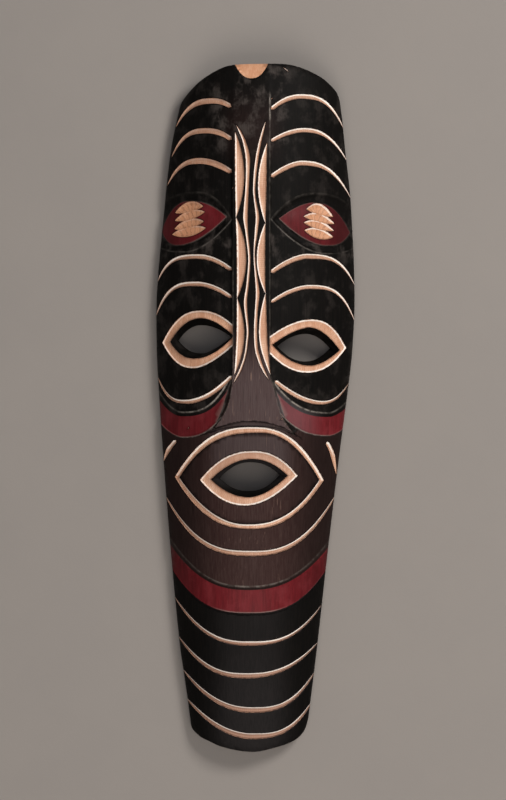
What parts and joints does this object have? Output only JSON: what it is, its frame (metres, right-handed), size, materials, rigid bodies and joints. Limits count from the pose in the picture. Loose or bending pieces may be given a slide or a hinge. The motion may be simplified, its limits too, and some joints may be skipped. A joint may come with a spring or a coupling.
{
  "type": "carved face mask",
  "caption": "Long carved wooden face mask with gouged stripes, eye and mouth holes and a hollow back, lying face up on its flat back rim.",
  "frame": {"origin": "middle of the mask's outline, on the plane of its flat back rim", "axes": "+X across the face, +Y along the face towards the forehead, +Z out of the face"},
  "size_m": [0.1731, 0.5985, 0.0562],
  "materials": {
    "stained_wood": "dark satin stain with bare gouge cuts and dull red paint"
  },
  "bodies": {
    "root": {"mask": "stained_wood"}
  },
  "joints": []
}
